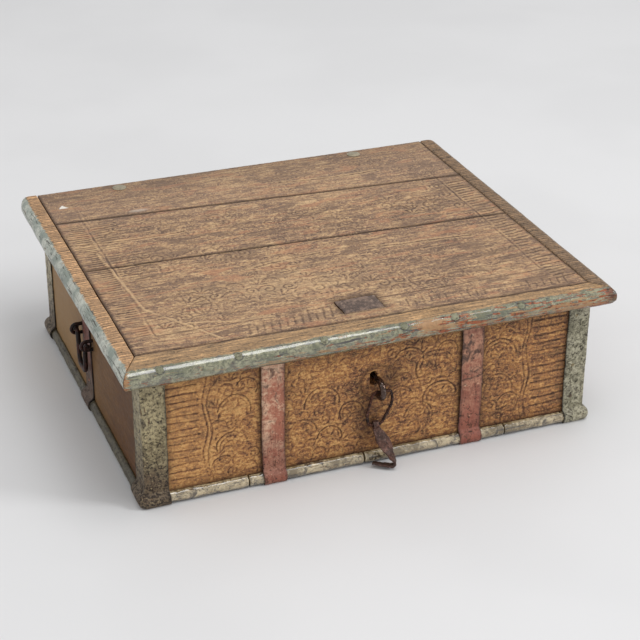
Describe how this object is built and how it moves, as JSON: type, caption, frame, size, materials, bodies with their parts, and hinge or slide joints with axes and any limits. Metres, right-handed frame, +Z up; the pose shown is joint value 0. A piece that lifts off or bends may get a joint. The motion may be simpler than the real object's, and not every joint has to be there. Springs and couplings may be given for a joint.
{
  "type": "coffer chest",
  "caption": "Low wide wooden chest with carved walls, iron straps over a half-round plinth, a hinged plank lid with a rounded nosing, a hanging hasp chain and drop handles.",
  "frame": {"origin": "on the floor under the middle of the body, on the middle bottom board's underside", "axes": "+X to the right along the front, +Y to the back, +Z up"},
  "size_m": [0.654, 0.572, 0.2015],
  "materials": {
    "carved_front": "worn carved wood, waxed",
    "plain_wood": "plain aged wood",
    "bare_wood": "unfinished sawn wood",
    "lid_wood": "weathered carved wood",
    "nosing_paint": "worn pale green paint on wood",
    "moulding_paint": "worn grey-green paint on wood",
    "plinth_paint": "worn grey-green paint on wood",
    "green_strap": "pitted olive-green paint on iron",
    "red_strap": "dusty brick-red paint on iron",
    "iron": "forged iron, rusted and rubbed"
  },
  "bodies": {
    "chest": {"back_panel": "plain_wood", "bottom_board_left": "bare_wood", "bottom_board_middle": "bare_wood", "bottom_board_right": "bare_wood", "corner_strap_back_left": "green_strap", "corner_strap_back_right": "green_strap", "corner_strap_front_left": "green_strap", "corner_strap_front_right": "green_strap", "front_panel": "carved_front", "front_strap_left": "red_strap", "front_strap_right": "red_strap", "handle_staple_left_back": "iron", "handle_staple_left_front": "iron", "handle_staple_right_back": "iron", "handle_staple_right_front": "iron", "hasp_staple": "iron", "hinge_nails": "iron", "hinge_pin_left": "iron", "hinge_pin_right": "iron", "hinge_wall_leaf_left": "iron", "hinge_wall_leaf_right": "iron", "left_panel": "plain_wood", "plinth_back": "plinth_paint", "plinth_front_1": "plinth_paint", "plinth_front_2": "plinth_paint", "plinth_front_3": "plinth_paint", "plinth_front_4": "plinth_paint", "plinth_left_back": "plinth_paint", "plinth_left_front": "plinth_paint", "plinth_right_back": "plinth_paint", "plinth_right_front": "plinth_paint", "right_panel": "plain_wood", "side_strap_left": "red_strap", "side_strap_right": "red_strap", "strap_nails": "iron"},
    "lid": {"batten_nails": "iron", "hinge_lid_leaf_left": "iron", "hinge_lid_leaf_right": "iron", "hinge_rivets": "iron", "lid_batten_left": "bare_wood", "lid_batten_right": "bare_wood", "lid_moulding_left": "moulding_paint", "lid_moulding_right": "moulding_paint", "lid_nosing": "nosing_paint", "lid_plank_back": "lid_wood", "lid_plank_front": "lid_wood", "lid_plank_middle": "lid_wood", "lid_plate": "iron", "nosing_nails": "iron"},
    "link": {"hasp_link": "iron"},
    "hook": {"hasp_hook": "iron"},
    "left_bail": {"handle_bail_left": "iron"},
    "right_bail": {"handle_bail_right": "iron"}
  },
  "joints": [
    {"name": "lid_hinge", "type": "hinge", "parent": "chest", "child": "lid", "pos_m": [0, 0.2584, 0.1681], "axis": [-1, 0, 0], "range_deg": [0, 100]},
    {"name": "link_swing", "type": "hinge", "parent": "chest", "child": "link", "pos_m": [0.005, -0.25975, 0.10325], "axis": [-1, 0, 0], "range_deg": [0, 110]},
    {"name": "hook_swing", "type": "hinge", "parent": "link", "child": "hook", "pos_m": [-0.0003, -0.25975, 0.05725], "axis": [-1, 0, 0], "range_deg": [0, 60]},
    {"name": "left_handle", "type": "hinge", "parent": "chest", "child": "left_bail", "pos_m": [-0.309, 0.015, 0.104], "axis": [0, 1, 0], "range_deg": [0, 110]},
    {"name": "right_handle", "type": "hinge", "parent": "chest", "child": "right_bail", "pos_m": [0.309, 0.015, 0.104], "axis": [0, -1, 0], "range_deg": [0, 110]}
  ]
}
